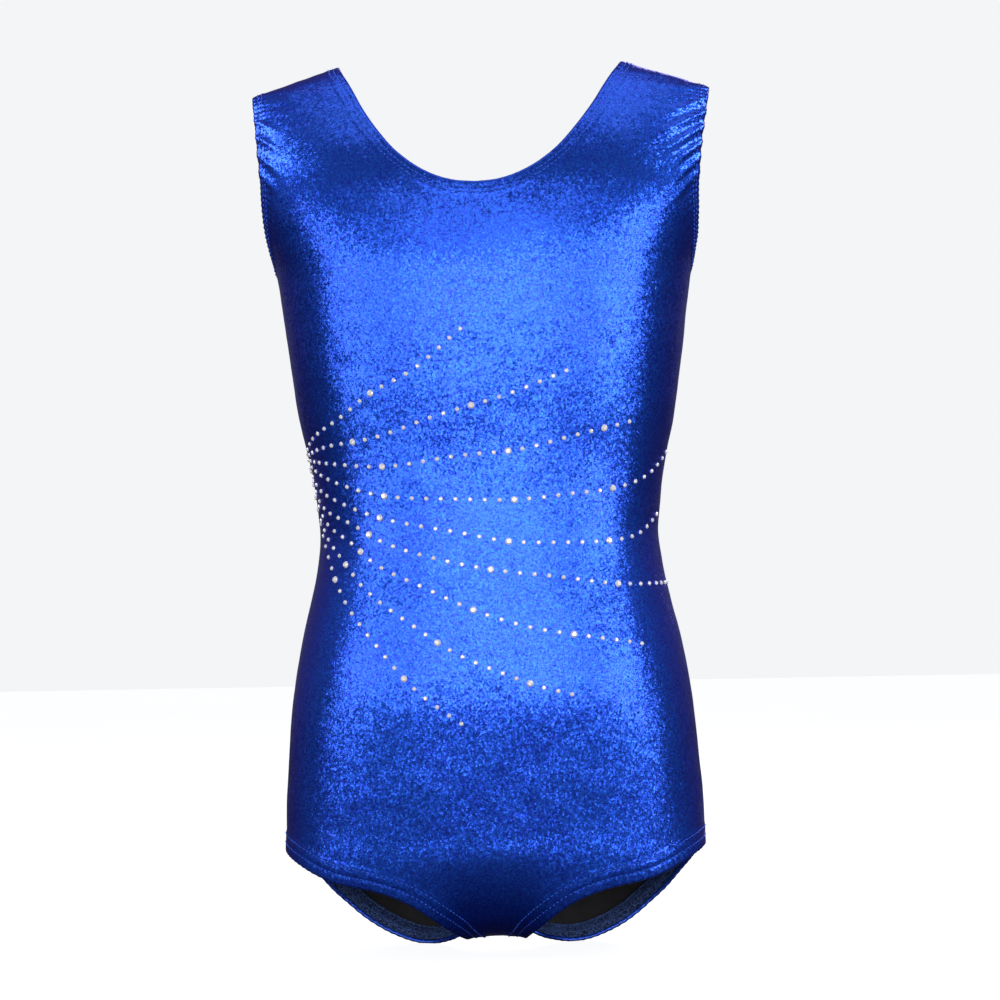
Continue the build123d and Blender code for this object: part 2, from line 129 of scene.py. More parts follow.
def fullness(x, z):
    """Square of the share of the depth that the torso has at each place; 0 on the outline."""
    q = (x / half_width(np.maximum(z, SIDE_JOIN))) ** 2
    across = (1 - q) * (1 + ROUNDNESS * q) ** 2
    low = underside(np.abs(x))
    high = shoulder_line(np.abs(x))
    rise = np.minimum(1.0, (z - low) / (SIDE_JOIN - low))
    drop = np.minimum(1.0, (high - z) / (high - TOP_JOIN))
    return across * (1 - (1 - rise) ** 2) * (1 - (1 - drop) ** 2)


def inside_out(p):
    """Negative inside the torso, zero on it and positive outside."""
    depth = np.where(p[..., 1] < 0, front_depth(p[..., 2]), back_depth(p[..., 2]))
    return (p[..., 1] / depth) ** 2 - fullness(p[..., 0], p[..., 2])


def slope_at(p):
    """Gradient of inside_out, which points outward."""
    d = 0.05
    result = np.empty_like(p)
    for axis in range(3):
        shift = np.zeros(3)
        shift[axis] = d
        result[..., axis] = (inside_out(p + shift) - inside_out(p - shift)) / (2 * d)
    return result


def unit(v):
    return v / np.maximum(np.linalg.norm(v, axis=-1, keepdims=True), 1e-12)


def normal(p):
    return unit(slope_at(p))


def settle(p):
    """Moves nearby points onto the torso."""
    for _ in range(6):
        slope = slope_at(p)
        p = p - slope * (inside_out(p) / (slope * slope).sum(-1))[..., None]
    return p


def at(x, z, side):
    """Points of the torso seen at (x, z) from the front (side -1) or the back (side +1)."""
    x, z = np.broadcast_arrays(np.asarray(x, float), np.asarray(z, float))
    depth = front_depth(z) if side < 0 else back_depth(z)
    return np.stack([x, side * depth * np.sqrt(np.maximum(0.0, fullness(x, z))), z], axis=-1)


# ---- cut edges ----------------------------------------------------------------------------
EDGE_STEPS = 120


def ease():
    """Steps from 0 to 1 that are finer at both ends."""
    return (1 - np.cos(np.pi * np.arange(EDGE_STEPS + 1) / EDGE_STEPS)) / 2


def leg_half(side, hand):
    edge = leg_front if side < 0 else leg_back
    xs = LEG_FRONT[0][0] + (LEG_FRONT[-1][0] - LEG_FRONT[0][0]) * ease()
    return at(hand * xs, edge(xs), side)


def arm_half(side, hand):
    edge = arm_front if side < 0 else arm_back
    zs = ARM_LOW + (ARM_HIGH - ARM_LOW) * ease()
    return at(hand * edge(zs), zs, side)


def neck_half(side, hand):
    edge = neck_front if side < 0 else neck_back
    xs = NECK_FRONT[-1][0] * np.sin(np.pi / 2 * np.arange(EDGE_STEPS + 1) / EDGE_STEPS)
    return at(hand * xs, edge(xs), side)


def neck_line(side):
    return np.concatenate([neck_half(side, -1)[::-1], neck_half(side, 1)[1:]])


# each opening: its kind, the edge of one panel and a point in the opening
OPENINGS = {
    "neck": ("neck", neck_line, (0, 0, 560)),
    "left_arm": ("arm", lambda side: arm_half(side, -1), (-150, 0, 482)),
    "right_arm": ("arm", lambda side: arm_half(side, 1), (150, 0, 482)),
    "left_leg": ("leg", lambda side: leg_half(side, -1), (-70, 0, -20)),
    "right_leg": ("leg", lambda side: leg_half(side, 1), (70, 0, -20)),
}


def closed_edge(opening, spacing):
    """Evenly spaced points round a whole opening; the last point is next to the first."""
    _, half, _ = OPENINGS[opening]
    line = np.concatenate([half(-1), half(1)[::-1][1:]])
    lengths = np.concatenate([[0.0], np.cumsum(np.linalg.norm(np.diff(line, axis=0), axis=1))])
    count = int(round(lengths[-1] / spacing))
    targets = lengths[-1] * np.arange(count) / count
    points = np.stack([np.interp(targets, lengths, line[:, k]) for k in range(3)], axis=-1)
    return settle(points), lengths[-1] / count


def away_from(line, along, opening):
    """Directions along the cloth, square to a line, pointing away from the opening."""
    direction = unit(np.cross(normal(line), along))
    outward = ((line - np.array(OPENINGS[opening][2], float)) * direction).sum(-1)
    return direction * np.sign(outward)[:, None]


def inward(line, opening):
    return away_from(line, unit(np.roll(line, -1, axis=0) - np.roll(line, 1, axis=0)), opening)


def inward_open(line, opening):
    return away_from(line, unit(np.gradient(line, axis=0)), opening)


EDGES = {name: closed_edge(name, FINE_STEP) for name in OPENINGS}
TANGENTS = {name: unit(np.roll(line, -1, axis=0) - np.roll(line, 1, axis=0))
            for name, (line, _) in EDGES.items()}
TREES = {}
for edge_name, (edge_line, _) in EDGES.items():
    tree = KDTree(len(edge_line))
    for number, point in enumerate(edge_line):
        tree.insert(point, number)
    tree.balance()
    TREES[edge_name] = tree


def edge_place(opening, points):
    """Distance round an opening's edge, and away from it, for each point."""
    line, step = EDGES[opening]
    found = [TREES[opening].find(p) for p in points]
    index = np.array([f[1] for f in found])
    away = np.array([f[2] for f in found])
    along = index * step + ((points - line[index]) * TANGENTS[opening][index]).sum(-1)
    return along, away


# ---- relief of the worn cloth --------------------------------------------------------------
# side, (x, z) at the armhole, (x, z) at the tip, height and half width, all in millimetres
FOLDS = [
    (-1, (143, 527), (112, 514), 1.4, 2.2), (-1, (142, 518), (106, 499), 1.9, 2.5),
    (-1, (140, 508), (104, 484), 2.0, 2.5), (-1, (139, 498), (106, 472), 1.9, 2.4),
    (-1, (138, 489), (110, 462), 1.6, 2.3), (-1, (137, 480), (114, 453), 1.2, 2.2),
    (-1, (-142, 519), (-122, 509), 0.9, 2.0), (-1, (-140, 508), (-116, 493), 1.1, 2.2),
    (-1, (-139, 497), (-117, 477), 1.2, 2.3), (-1, (-138, 486), (-121, 465), 1.0, 2.2),
    (1, (141, 512), (112, 492), 1.2, 2.5), (1, (138, 496), (109, 473), 1.4, 2.7),
    (1, (136, 478), (114, 455), 1.1, 2.5), (1, (-140, 509), (-113, 490), 1.2, 2.6),
    (1, (-138, 492), (-111, 469), 1.4, 2.7), (1, (-136, 475), (-117, 453), 1.0, 2.5),
]
# ripples over the elastics: height, pitch, how far they reach and how much they slant
PUCKER = {"neck": 0.10, "arm": 0.32, "leg": 0.30}
PUCKER_PITCH = {"neck": 4.6, "arm": 3.6, "leg": 5.2}
PUCKER_FADE = {"neck": 5.0, "arm": 11.0, "leg": 7.0}
PUCKER_SLANT = {"neck": 0.1, "arm": 0.42, "leg": 0.15}
HEM_RISE = 0.38           # the cloth stands proud over a hem
HEM_BLEND = 0.9
STITCH_DENT = 0.24        # and is pressed in along its stitches
STITCH_DENT_WIDTH = 0.65
SEAM_DENT = 0.4
SEAM_DENT_WIDTH = 0.9


def smooth(low, high, value):
    t = np.clip((value - low) / (high - low), 0, 1)
    return t * t * (3 - 2 * t)


def lumps(points, size, seed):
    """Smooth noise with features of the given size."""
    shift = Vector((seed * 17.3, seed * 5.1, seed * 9.7))
    return np.array([noise.noise(Vector(p) / size + shift) for p in points])


def fold_relief(points):
    """Soft folds that run from the armholes over the chest and the back."""
    rise = np.zeros(len(points))
    flat = points[:, [0, 2]]
    for side, start, end, height, width in FOLDS:
        start = np.array(start, float)
        run = np.array(end, float) - start
        share = ((flat - start) @ run) / (run @ run)
        held = np.clip(share, -0.2, 1)
        gap = np.linalg.norm(flat - start - held[:, None] * run, axis=1)
        taper = (1 - smooth(0.15, 1.0, held)) * smooth(-0.3, 0.15, share)
        rise += height * taper * np.exp(-(gap / width) ** 2) * (points[:, 1] * side > 0)
    return rise


def hem_relief(points):
    """Cloth over the hems: proud of the panel, pressed in by the stitches and rippled by the elastic."""
    rise = np.zeros(len(points))
    for name, (kind, _, _) in OPENINGS.items():
        line, step = EDGES[name]
        along, away = edge_place(name, points)
        length = len(line) * step
        waves = round(length / PUCKER_PITCH[kind])
        phase = 2 * np.pi * waves * along / length
        drift = 1.4 * np.sin(along / 13.0) + PUCKER_SLANT[kind] * away
        strength = PUCKER[kind] * (0.7 + 0.3 * np.sin(along / 23.0 + 1.0))
        rise += strength * np.sin(phase + drift) * np.exp(-(away / PUCKER_FADE[kind]) ** 2)
        width = HEM_WIDTH[kind]
        rise += HEM_RISE * (1 - smooth(width - HEM_BLEND, width + HEM_BLEND, away))
        for row in STITCH_ROWS[kind]:
            rise -= STITCH_DENT * np.exp(-((away - row) / STITCH_DENT_WIDTH) ** 2)
    return rise


def relief(points):
    """How far the worn cloth stands out from the smooth torso, in millimetres."""
    points = np.asarray(points, float).reshape(-1, 3)
    x, y, z = points.T
    rise = 0.55 * lumps(points, 42, 1) + 0.22 * lumps(points, 17, 2) + 0.07 * lumps(points, 6.5, 3)
    crease = np.sin(z / 1.15 + 1.5 * np.sin(x / 9))
    rise += 0.12 * crease * smooth(505, 530, z) * smooth(92, 112, np.abs(x))
    rise -= SEAM_DENT * np.exp(-(y / SEAM_DENT_WIDTH) ** 2)
    return rise + fold_relief(points) + hem_relief(points)


def layer(points, depth):
    """Points carried down through the cloth by a depth, on top of the relief."""
    flat = points.reshape(-1, 3)
    height = relief(flat) - np.broadcast_to(depth, points.shape[:-1]).reshape(-1)
    return (flat + normal(flat) * height[:, None]).reshape(points.shape)


# ---- meshes --------------------------------------------------------------------------------
def make_piece(name, points, faces, materials, nodes, smooth_faces=True, kinds=None):
    """Adds a mesh piece given in millimetres that stands for the CAD nodes."""
    mesh = bpy.data.meshes.new(name)
    placed = (np.asarray(points, float).reshape(-1, 3) + (0, 0, LIFT)) * MM
    mesh.from_pydata(placed.tolist(), [], faces)
    mesh.polygons.foreach_set("use_smooth", [smooth_faces] * len(mesh.polygons))
    for material in materials:
        mesh.materials.append(material)
    if kinds is not None:
        mesh.polygons.foreach_set("material_index", kinds)
    mesh.update()
    obj = bpy.data.objects.new(name, mesh)
    bpy.context.scene.collection.objects.link(obj)
    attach(obj, "root")
    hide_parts(*nodes)
    return obj


def joined(parts):
    """One list of points and faces from many; also the number of faces in each part."""
    points = []
    faces = []
    counts = []
    start = 0
    for part_points, part_faces in parts:
        flat = np.asarray(part_points, float).reshape(-1, 3)
        points.append(flat)
        faces.extend([[i + start for i in face] for face in part_faces])
        counts.append(len(part_faces))
        start += len(flat)
    return np.concatenate(points), faces, counts


def loop_faces(count, width, closed):
    """Faces of a tube: count rings of width points, with its ends capped unless it is closed."""
    faces = []
    for i in range(count if closed else count - 1):
        a = i * width
        b = (i + 1) % count * width
        for j in range(width):
            k = (j + 1) % width
            faces.append([a + j, b + j, b + k, a + k])
    if not closed:
        faces.append(list(range(width)))
        faces.append([(count - 1) * width + j for j in range(width)][::-1])
    return faces


def swept(line, direction, profile, closed):
    """Ribbon along a line. The profile is a ring of (distance into the cloth, depth)."""
    profile = np.array(profile, float)
    spread = line[:, None, :] + direction[:, None, :] * profile[None, :, :1]
    base = settle(spread)
    rings = layer(base, profile[None, :, 1])
    return rings, loop_faces(len(line), len(profile), closed)


def tube(path, radius, sides, closed=False):
    """Round thread along a path."""
    path = np.asarray(path, float)
    if closed:
        along = unit(np.roll(path, -1, axis=0) - np.roll(path, 1, axis=0))
    else:
        along = unit(np.gradient(path, axis=0))
    up = normal(path)
    across = unit(np.cross(up, along))
    up = np.cross(along, across)
    angles = 2 * np.pi * np.arange(sides) / sides
    sideways = np.cos(angles)[None, :, None] * across[:, None, :]
    upward = np.sin(angles)[None, :, None] * up[:, None, :]
    size = np.broadcast_to(radius, (len(path),))[:, None, None]
    return path[:, None, :] + (sideways + upward) * size, loop_faces(len(path), sides, closed)


# ---- panels --------------------------------------------------------------------------------
ROLL = 72.0               # turns the rounded underside and shoulders into flat distance
WRAP = 105.0              # turns the angle round the torso into flat distance
GRID = 2.1                # spacing of the points away from the edges
MARGIN = 1.5              # and how near they come to the side seams
CLOSEST = 0.55            # points nearer together than this are thinned out
BAND_ROWS = {
    "neck": (0.9, 1.9, 2.9, 3.6, 4.4, 5.4, 6.5, 7.5, 8.6, 10.0, 12.0),
    "arm": (0.9, 1.9, 2.9, 3.6, 4.4, 5.4, 6.5, 7.5, 8.6, 10.0, 12.0, 14.0),
    "leg": (1.0, 2.4, 3.8, 5.1, 5.8, 6.8, 8.4, 10.0, 11.4, 12.4, 13.6, 15.2),
}
EDGE_SPACING = {"neck": 1.1, "arm": 0.9, "leg": 1.2}


def chart(points):
    """Flat place of each point of the torso."""
    x = points[:, 0]
    z = points[:, 2]
    turn = np.arcsin(np.clip(x / half_width(np.maximum(z, SIDE_JOIN)), -1, 1))
    low = underside(np.abs(x))
    high = shoulder_line(np.abs(x))
    under = np.arcsin(np.clip((SIDE_JOIN - z) / (SIDE_JOIN - low), 0, 1)) * ROLL
    over = np.arcsin(np.clip((z - TOP_JOIN) / (high - TOP_JOIN), 0, 1)) * ROLL
    level = np.clip(z, SIDE_JOIN, TOP_JOIN) - under + over
    return np.stack([turn * WRAP, level], axis=-1)


def unchart(flat, side):
    """Point of the torso for each flat place."""
    turn = flat[:, 0] / WRAP
    level = flat[:, 1]
    z = np.clip(level, SIDE_JOIN, TOP_JOIN)
    for _ in range(6):
        x = half_width(np.maximum(z, SIDE_JOIN)) * np.sin(turn)
        low = underside(np.abs(x))
        high = shoulder_line(np.abs(x))
        under = np.sin(np.clip((SIDE_JOIN - level) / ROLL, 0, np.pi / 2))
        over = np.sin(np.clip((level - TOP_JOIN) / ROLL, 0, np.pi / 2))
        z = np.where(level < SIDE_JOIN, SIDE_JOIN - (SIDE_JOIN - low) * under,
                     np.where(level > TOP_JOIN, TOP_JOIN + (high - TOP_JOIN) * over, level))
    return at(x, z, side)


def resampled(line, spacing):
    lengths = np.concatenate([[0.0], np.cumsum(np.linalg.norm(np.diff(line, axis=0), axis=1))])
    count = max(2, int(round(lengths[-1] / spacing)))
    targets = lengths[-1] * np.arange(count + 1) / count
    return np.stack([np.interp(targets, lengths, line[:, k]) for k in range(3)], axis=-1)


def side_line(hand):
    heights = np.linspace(LEG_FRONT[-1][1], ARM_LOW, 180)
    return np.stack([hand * half_width(heights), np.zeros(180), heights], axis=-1)


def shoulder_seam_line(hand):
    xs = np.linspace(NECK_FRONT[-1][0], ARM_FRONT[-1][1], 40)
    return np.stack([hand * xs, np.zeros(40), shoulder_line(xs)], axis=-1)


def crotch_line():
    xs = np.linspace(-LEG_FRONT[0][0], LEG_FRONT[0][0], 24)
    return np.stack([xs, np.zeros(24), underside(np.abs(xs))], axis=-1)


def outline(side):
    """The panel's whole edge, in order, as separate runs."""
    right = [
        resampled(neck_half(side, 1), EDGE_SPACING["neck"]),
        resampled(shoulder_seam_line(1), 1.6),
        resampled(arm_half(side, 1)[::-1], EDGE_SPACING["arm"]),
        resampled(side_line(1)[::-1], 1.8),
        resampled(leg_half(side, 1)[::-1], EDGE_SPACING["leg"]),
    ]
    left = [run[::-1] * (-1, 1, 1) for run in right[::-1]]
    crotch = resampled(crotch_line()[::-1], 1.2)
    runs = right + [crotch] + left
    return np.concatenate([run[:-1] for run in runs])


def band_points(side):
    """Rows of points that follow the hems and the seams of a panel."""
    rows = []
    for name, (kind, _, _) in OPENINGS.items():
        line, _ = closed_edge(name, EDGE_SPACING[kind])
        direction = inward(line, name)
        for distance in BAND_ROWS[kind]:
            rows.append(settle(line + direction * distance))
    seams = [side_line(1), side_line(-1), shoulder_seam_line(1), shoulder_seam_line(-1), crotch_line()]
    for line in seams:
        for distance in (0.8, 1.7, 3.0):
            rows.append(settle(resampled(line, 1.8) + np.array([0, side * distance, 0])))
    points = np.concatenate(rows)
    return points[points[:, 1] * side > 0.5]


def field_points(side):
    """Even points over the rest of a panel."""
    reach = math.pi / 2 * WRAP - MARGIN
    across = np.arange(-reach, reach + 0.1, GRID)
    levels = np.arange(SIDE_JOIN - ROLL * 1.55, TOP_JOIN + ROLL * 1.55, GRID * 0.87)
    flat = []
    for number, level in enumerate(levels):
        shift = GRID / 2 * (number % 2)
        flat.append(np.stack([across + shift, np.full(len(across), level)], axis=-1))
    flat = np.concatenate(flat)
    points = unchart(flat, side)
    keep = np.ones(len(points), bool)
    for name, (kind, _, _) in OPENINGS.items():
        keep &= edge_place(name, points)[1] > BAND_ROWS[kind][-1] + 0.7
    keep &= np.abs(points[:, 1]) > 3.8
    return points[keep]


def thinned(flat, gap):
    """Leaves out places that are closer than gap to one already taken."""
    cells = {}
    taken = []
    for number, (u, v) in enumerate(flat):
        cell = (int(u // gap), int(v // gap))
        near = [cells.get((cell[0] + i, cell[1] + j), []) for i in (-1, 0, 1) for j in (-1, 0, 1)]
        if any((u - a) ** 2 + (v - b) ** 2 < gap * gap for group in near for a, b in group):
            continue
        cells.setdefault(cell, []).append((u, v))
        taken.append(number)
    return taken


def panel_mesh(side):
    """Points and triangles of one panel, cut to its outline."""
    border = outline(side)
    inner = np.concatenate([band_points(side), field_points(side)])
    points = np.concatenate([border, inner])
    flat = chart(points)
    taken = thinned(flat[len(border):], CLOSEST)
    order = list(range(len(border))) + [len(border) + i for i in taken]
    points = points[order]
    flat = flat[order]
    loop = list(range(len(border)))
    corners = [Vector(p) for p in flat]
    _, _, faces, sources, _, _ = delaunay_2d_cdt(corners, [], [loop], 1, 1e-4)
    triangles = [list(face) for face in faces]
    origins = [group[0] if group else -1 for group in sources]
    used = sorted({i for face in triangles for i in face})
    number = {old: new for new, old in enumerate(used)}
    points = np.array([points[origins[old]] for old in used])
    triangles = [[number[i] for i in face] for face in triangles]
    if side > 0:
        triangles = [face[::-1] for face in triangles]
    return points, triangles


def add_panel(name, side):
    points, triangles = panel_mesh(side)
    piece = make_piece(name, layer(points, 0.0), triangles, [foil, inside], [name])
    skin = piece.modifiers.new("Thickness", "SOLIDIFY")
    skin.thickness = CLOTH * MM
    skin.offset = -1
    skin.material_offset = 1
    return piece


# ---- materials -----------------------------------------------------------------------------
class Nodes:
    """Short way to build a material's node tree."""

    def __init__(self, name):
        self.material = bpy.data.materials.new(name)
        self.material.use_nodes = True
        self.tree = self.material.node_tree
        self.tree.nodes.clear()
        self.coords = self.add("ShaderNodeTexCoord").outputs["Object"]

    def add(self, kind, values=None, links=None, **settings):
        node = self.tree.nodes.new(kind)
        for key, value in settings.items():
            setattr(node, key, value)
        for key, value in (values or {}).items():
            node.inputs[key].default_value = value
        for key, source in (links or {}).items():
            self.tree.links.new(source, node.inputs[key])
        return node

    def noise(self, size, detail=2.0):
        """Noise with features of a size in millimetres."""
        values = {"Scale": 1 / (size * MM), "Detail": detail}
        return self.add("ShaderNodeTexNoise", values, {"Vector": self.coords}).outputs["Fac"]

    def cells(self, size, output="Color"):
        """Random cells of a size in millimetres."""
        return self.add("ShaderNodeTexVoronoi", {"Scale": 1 / (size * MM)},
                        {"Vector": self.coords}).outputs[output]

    def wave(self, size, direction, distortion=0.0):
        """Lines that repeat after a size in millimetres."""
        values = {"Scale": 0.314 / (size * MM), "Distortion": distortion, "Detail": 1.0}
        return self.add("ShaderNodeTexWave", values, {"Vector": self.coords},
                        bands_direction=direction).outputs["Fac"]

    def ramp(self, source, low, high):
        """Stretches the part of a value between low and high to the range from 0 to 1."""
        values = {"From Min": low, "From Max": high}
        return self.add("ShaderNodeMapRange", values, {"Value": source}).outputs["Result"]

    def math(self, operation, first, second):
        node = self.add("ShaderNodeMath", operation=operation)
        for number, value in enumerate((first, second)):
            if isinstance(value, (int, float)):
                node.inputs[number].default_value = value
            else:
                self.tree.links.new(value, node.inputs[number])
        return node.outputs[0]

    def mix(self, factor, first, second):
        """Mixes two colours, each given as a value or as a node's output."""
        node = self.add("ShaderNodeMix", data_type="RGBA")
        self.tree.links.new(factor, node.inputs["Factor"])
        for key, value in (("A", first), ("B", second)):
            socket = [s for s in node.inputs if s.name == key and s.type == "RGBA"][0]
            if isinstance(value, tuple):
                socket.default_value = (*value, 1)
            else:
                self.tree.links.new(value, socket)
        return [s for s in node.outputs if s.type == "RGBA"][0]

    def bump(self, height, size):
        """Bump whose full height is a size in millimetres."""
        values = {"Strength": 1.0, "Distance": size * MM}
        return self.add("ShaderNodeBump", values, {"Height": height}).outputs["Normal"]

    def glitter(self, size, tilt, base):
        """Tilts the normal at random from cell to cell."""
        centred = self.add("ShaderNodeVectorMath", {1: (0.5, 0.5, 0.5)}, {0: self.cells(size)},
                           operation="SUBTRACT").outputs[0]
        scaled = self.add("ShaderNodeVectorMath", {"Scale": tilt}, {0: centred},
                          operation="SCALE").outputs[0]
        total = self.add("ShaderNodeVectorMath", None, {0: scaled, 1: base},
                         operation="ADD").outputs[0]
        return self.add("ShaderNodeVectorMath", None, {0: total}, operation="NORMALIZE").outputs[0]

    def surface(self, values=None, links=None):
        """Ends the tree in one principled surface and returns the material."""
        shader = self.add("ShaderNodeBsdfPrincipled", values, links)
        output = self.add("ShaderNodeOutputMaterial")
        self.tree.links.new(shader.outputs[0], output.inputs["Surface"])
        return self.material


def foil_knit(name, deep, bright, edge, roughness):
    """Metallic foil printed on stretch knit: grainy sparkle, with painted shade on the sides, where the
    colour turns to the darker violet edge colour at grazing angles; the edge colour also tints the
    metal's reflection there.
    """
    n = Nodes(name)
    patches = n.ramp(n.noise(40, 1), 0.35, 0.65)
    specks = n.ramp(n.noise(1.3, 1), 0.35, 0.7)
    colour = n.mix(specks, deep, bright)
    colour = n.mix(n.math("MULTIPLY", patches, 0.2), colour, bright)
    # painted shade: where the cloth turns away from the view, the colour is mixed towards the darker
    # violet edge colour, standing in for the dark sides
    painted_side_shade = n.add("ShaderNodeLayerWeight", {"Blend": 0.42}).outputs["Facing"]
    colour = n.mix(n.ramp(painted_side_shade, 0.35, 0.95), colour, edge)
    wales = n.wave(0.62, "X", 0.6)
    courses = n.wave(0.5, "Z", 0.4)
    knit = n.math("ADD", wales, n.math("MULTIPLY", courses, 0.5))
    unevenness = n.math("MULTIPLY", n.noise(5, 2), 0.12)
    bumped = n.bump(n.math("ADD", unevenness, n.math("MULTIPLY", knit, 0.05)), 0.16)
    sparkle = n.glitter(1.3, 0.17, n.glitter(0.8, 0.14, bumped))
    rough = n.math("ADD", n.math("MULTIPLY", n.noise(1.8, 2), 0.14), roughness)
    values = {"Metallic": 0.97, "Coat Weight": 0.4, "Coat Roughness": 0.24, "Coat IOR": 1.7,
              "Specular Tint": (*edge, 1)}
    links = {"Base Color": colour, "Roughness": rough, "Normal": sparkle, "Coat Normal": sparkle}
    return n.surface(values, links)


def knit_cloth(name, dark, light, pitch, roughness, sheen):
    """Matt knit with fine ribs."""
    n = Nodes(name)
    ribs = n.math("MULTIPLY", n.wave(pitch, "X", 0.8), n.wave(pitch * 0.8, "Z", 0.8))
    colour = n.mix(n.math("MULTIPLY", n.ramp(n.noise(9, 3), 0.3, 0.7), 0.6), dark, light)
    colour = n.mix(n.math("MULTIPLY", ribs, 0.5), colour, light)
    values = {"Roughness": roughness, "Sheen Weight": sheen, "Sheen Roughness": 0.4}
    links = {"Base Color": colour, "Normal": n.bump(ribs, 0.12)}
    return n.surface(values, links)


def twisted_thread(name, dark, light):
    """Polyester thread with a visible twist."""
    n = Nodes(name)
    twist = n.wave(0.5, "DIAGONAL", 0.5)
    colour = n.mix(n.math("MULTIPLY", twist, 0.8), dark, light)
    colour = n.mix(n.math("MULTIPLY", n.noise(7, 2), 0.4), colour, light)
    values = {"Roughness": 0.4, "Metallic": 0.55}
    links = {"Base Color": colour, "Normal": n.bump(twist, 0.08)}
    return n.surface(values, links)


def silver_crystal(name):
    """Faceted crystal over silver foil, with slightly different facets from stone to stone."""
    n = Nodes(name)
    tone = n.ramp(n.noise(6, 1), 0.35, 0.65)
    colour = n.mix(tone, (0.86, 0.87, 0.92), (1.0, 0.97, 0.92))
    flaws = n.bump(n.noise(0.8, 1), 0.02)
    values = {"Metallic": 0.1, "Roughness": 0.12, "Coat Weight": 1.0, "Coat Roughness": 0.03}
    return n.surface(values, {"Base Color": colour, "Normal": flaws})


def thread_cover(name):
    """Hem seen from inside: close dark and light loops of cover thread over the foil."""
    n = Nodes(name)
    loops = n.ramp(n.noise(1.5, 2), 0.38, 0.62)
    tufts = n.ramp(n.cells(1.1, "Distance"), 0.1, 0.7)
    colour = n.mix(loops, (0.004, 0.006, 0.025), (0.09, 0.19, 0.56))
    colour = n.mix(n.math("MULTIPLY", tufts, 0.5), colour, (0.02, 0.035, 0.12))
    height = n.math("ADD", loops, tufts)
    values = {"Roughness": 0.6, "Metallic": 0.2}
    return n.surface(values, {"Base Color": colour, "Normal": n.bump(height, 0.3)})


def satin_tape(name):
    """Woven satin tape."""
    n = Nodes(name)
    weave = n.math("ADD", n.wave(0.3, "X", 0.3), n.math("MULTIPLY", n.wave(0.6, "Z", 0.3), 0.4))
    colour = n.mix(n.ramp(n.noise(8, 3), 0.3, 0.7), (0.78, 0.78, 0.76), (0.9, 0.9, 0.89))
    values = {"Roughness": 0.45, "Sheen Weight": 0.4}
    return n.surface(values, {"Base Color": colour, "Normal": n.bump(weave, 0.06)})


# The third colour of each foil, a darker violet, is its painted shade on the sides that turn away, and
# also its reflection tint at grazing angles.
foil = foil_knit("foil_knit", (0.001, 0.04, 0.72), (0.008, 0.15, 1.0), (0.05, 0.045, 0.55), 0.23)
hem_foil = foil_knit("turned_hem", (0.01, 0.06, 0.6), (0.03, 0.14, 0.9), (0.05, 0.05, 0.55), 0.36)
inside = knit_cloth("inside_of_knit", (0.006, 0.005, 0.007), (0.022, 0.018, 0.024), 0.7, 0.8, 0.35)
lining_cloth = knit_cloth("lining", (0.012, 0.012, 0.018), (0.03, 0.03, 0.04), 0.8, 0.8, 0.3)
elastic_band = knit_cloth("elastic", (0.62, 0.62, 0.58), (0.78, 0.78, 0.75), 1.1, 0.6, 0.1)
thread = twisted_thread("thread", (0.02, 0.09, 0.6), (0.06, 0.2, 0.85))
cover_thread = twisted_thread("cover_thread", (0.03, 0.07, 0.26), (0.13, 0.23, 0.58))
crystal = silver_crystal("crystal")
label_tape = satin_tape("label_tape")
hem_cover = thread_cover("hem_cover")


# ---- hems, elastics and stitches -----------------------------------------------------------
def add_hem(name):
    """Cloth folded in over the elastic: a round rim and an inner ply."""
    kind = OPENINGS[name][0]
    far = HEM_WIDTH[kind]
    line, _ = closed_edge(name, EDGE_SPACING[kind])
    direction = inward(line, name)
    profile = [(1.3, 0.62), (0.5, 0.3), (0.0, 0.12), (-0.4, 0.25), (-0.68, 0.65), (-0.75, 1.15),
               (-0.6, 1.65), (-0.2, 2.1), (0.5, 2.38), (1.4, 2.5)]
    for row in STITCH_ROWS[kind]:
        profile += [(row - 0.7, 2.5), (row, 2.32), (row + 0.7, 2.5)]
    profile += [(far - 0.1, 2.5), (far, 2.3), (far - 0.1, 2.05), (1.4, 1.95), (0.6, 1.7), (0.2, 1.2)]
    rings, faces = swept(line, direction, profile, True)
    covered = [depth > 2.2 and distance > 1.0 for distance, depth in profile] * len(line)
    make_piece(name + "_hem", rings, faces, [hem_foil, hem_cover], [name + "_hem"],
               kinds=[int(flag) for flag in covered])


def add_elastic(name):
    """Ribbed elastic in the fold of a hem."""
    kind = OPENINGS[name][0]
    line, _ = closed_edge(name, 2.0)
    direction = inward(line, name)
    ribs = [(ELASTIC_START + ELASTIC_WIDTH[kind] * i / ELASTIC_RIBS, 0.08 * (i % 2))
            for i in range(ELASTIC_RIBS + 1)]
    profile = [(distance, ELASTIC_TOP + rib) for distance, rib in ribs]
    profile += [(distance, ELASTIC_BOTTOM - rib) for distance, rib in ribs[::-1]]
    rings, faces = swept(line, direction, profile, True)
    make_piece(name + "_elastic", rings, faces, [elastic_band], [name + "_elastic"])


def stitch_row(line, step, direction, distance):
    """Separate stitches along one row, each sunk into the cloth at its ends."""
    count = int(round(len(line) * step / STITCH_PITCH))
    shares = np.linspace(-0.5, 0.5, len(STITCH_HEIGHTS))
    centres = len(line) * np.arange(count) / count
    spots = (centres[:, None] + shares[None, :] * STITCH_LENGTH / step) % len(line)
    low = np.floor(spots).astype(int)
    part = (spots - low)[..., None]
    high = (low + 1) % len(line)
    low = low % len(line)
    base = line[low] * (1 - part) + line[high] * part
    turn = direction[low] * (1 - part) + direction[high] * part
    base = settle(base + turn * distance)
    paths = layer(base, -np.array(STITCH_HEIGHTS)[None, :])
    return [tube(path, STITCH_RADII, 6) for path in paths]


